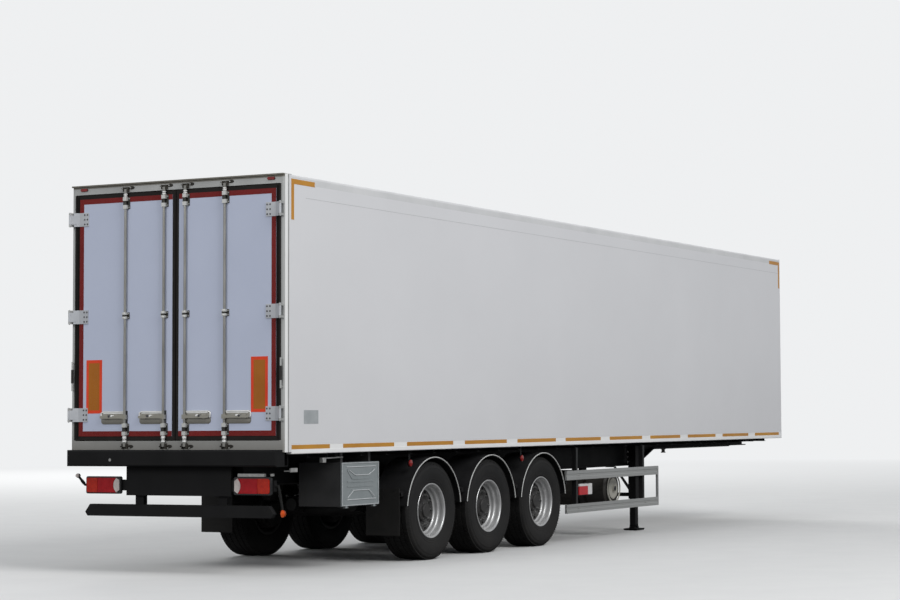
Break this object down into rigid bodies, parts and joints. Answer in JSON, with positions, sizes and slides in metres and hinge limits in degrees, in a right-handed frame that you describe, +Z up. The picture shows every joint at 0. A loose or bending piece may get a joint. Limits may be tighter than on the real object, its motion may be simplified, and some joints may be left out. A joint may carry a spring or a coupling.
{
  "type": "refrigerated semi-trailer",
  "caption": "Insulated box semi-trailer on close-set axles, with swinging rear barn doors, a front refrigeration unit, landing legs and a kingpin.",
  "frame": {"origin": "on the ground, under the middle of the trailer's length and width", "axes": "+X forward towards the kingpin and refrigeration unit, +Y to the trailer's left, +Z up"},
  "size_m": [14.12, 2.604, 3.96],
  "materials": {
    "white_panel": "white coated insulated panel",
    "pale_aluminium": "coated aluminium edge profile",
    "floor_aluminium": "ribbed aluminium floor",
    "stainless": "brushed stainless steel",
    "black_steel": "black painted steel",
    "dark_steel": "dark grey painted steel",
    "galvanised": "galvanised steel",
    "bellows_rubber": "black bellows rubber",
    "seal_rubber": "black seal rubber",
    "flap_rubber": "black flap rubber",
    "black_plastic": "black moulded plastic",
    "guard_aluminium": "extruded aluminium",
    "lamp_red": "red lamp lens",
    "white_casing": "white moulded casing",
    "grille_plastic": "black grille",
    "tank_aluminium": "bare aluminium tank",
    "wheel_silver": "silver painted steel wheel",
    "tyre_rubber": "black tyre rubber"
  },
  "bodies": {
    "chassis": {"air_reservoirs": "black_steel", "air_springs": "bellows_rubber", "axles": "black_steel", "buffer_beam": "black_steel", "coupling_plate": "black_steel", "cross_members": "black_steel", "evaporator": "white_casing", "front_connections": "dark_steel", "front_wall": "white_panel", "fuel_tank": "tank_aluminium", "grab_bars": "stainless", "lamp_beam": "black_steel", "landing_gear": "black_steel", "load_floor": "floor_aluminium", "main_rails": "black_steel", "marker_lamps": "lamp_red", "mud_flaps": "flap_rubber", "mudguard_stays": "black_steel", "mudguards": "black_plastic", "rear_beam": "black_steel", "rear_frame": "stainless", "refrigeration_casing": "white_casing", "refrigeration_grille": "grille_plastic", "roof": "white_panel", "rub_rails": "pale_aluminium", "shock_absorbers": "black_steel", "side_guard_left": "guard_aluminium", "side_guard_right": "guard_aluminium", "side_wall_left": "white_panel", "side_wall_right": "white_panel", "suspension_hangers": "black_steel", "tail_lamps": "lamp_red", "tank_cradle": "black_steel", "toolbox_body": "dark_steel", "trailing_arms": "black_steel", "underrun": "black_steel"},
    "door_right": {"door_panel_right": "white_panel", "door_seal_right": "seal_rubber", "door_hinges_right": "stainless", "lock_gear_right": "galvanised"},
    "door_left": {"door_panel_left": "white_panel", "door_seal_left": "seal_rubber", "door_hinges_left": "stainless", "lock_gear_left": "galvanised"},
    "lid": {"toolbox_lid": "galvanised"},
    "wheel_1_right": {"tyre_1_right": "tyre_rubber", "wheel_1_right": "wheel_silver"},
    "wheel_1_left": {"tyre_1_left": "tyre_rubber", "wheel_1_left": "wheel_silver"},
    "wheel_2_right": {"tyre_2_right": "tyre_rubber", "wheel_2_right": "wheel_silver"},
    "wheel_2_left": {"tyre_2_left": "tyre_rubber", "wheel_2_left": "wheel_silver"},
    "wheel_3_right": {"tyre_3_right": "tyre_rubber", "wheel_3_right": "wheel_silver"},
    "wheel_3_left": {"tyre_3_left": "tyre_rubber", "wheel_3_left": "wheel_silver"}
  },
  "joints": [
    {"name": "door_right_swing", "type": "hinge", "parent": "chassis", "child": "door_right", "pos_m": [-7.016, -1.29, 2.6075], "axis": [0, 0, 1], "range_deg": [0, 270]},
    {"name": "door_left_swing", "type": "hinge", "parent": "chassis", "child": "door_left", "pos_m": [-7.016, 1.29, 2.6075], "axis": [0, 0, -1], "range_deg": [0, 270]},
    {"name": "lid_swing", "type": "hinge", "parent": "chassis", "child": "lid", "pos_m": [-5.47, -1.2355, 0.638], "axis": [1, 0, 0], "range_deg": [0, 180]},
    {"name": "wheel_1_right_spin", "type": "hinge", "parent": "chassis", "child": "wheel_1_right", "pos_m": [-1.39, -1.07, 0.536], "axis": [0, 1, 0], "continuous": true},
    {"name": "wheel_1_left_spin", "type": "hinge", "parent": "chassis", "child": "wheel_1_left", "pos_m": [-1.39, 1.07, 0.536], "axis": [0, 1, 0], "continuous": true},
    {"name": "wheel_2_right_spin", "type": "hinge", "parent": "chassis", "child": "wheel_2_right", "pos_m": [-2.7, -1.07, 0.536], "axis": [0, 1, 0], "continuous": true},
    {"name": "wheel_2_left_spin", "type": "hinge", "parent": "chassis", "child": "wheel_2_left", "pos_m": [-2.7, 1.07, 0.536], "axis": [0, 1, 0], "continuous": true},
    {"name": "wheel_3_right_spin", "type": "hinge", "parent": "chassis", "child": "wheel_3_right", "pos_m": [-4.01, -1.07, 0.536], "axis": [0, 1, 0], "continuous": true},
    {"name": "wheel_3_left_spin", "type": "hinge", "parent": "chassis", "child": "wheel_3_left", "pos_m": [-4.01, 1.07, 0.536], "axis": [0, 1, 0], "continuous": true}
  ]
}
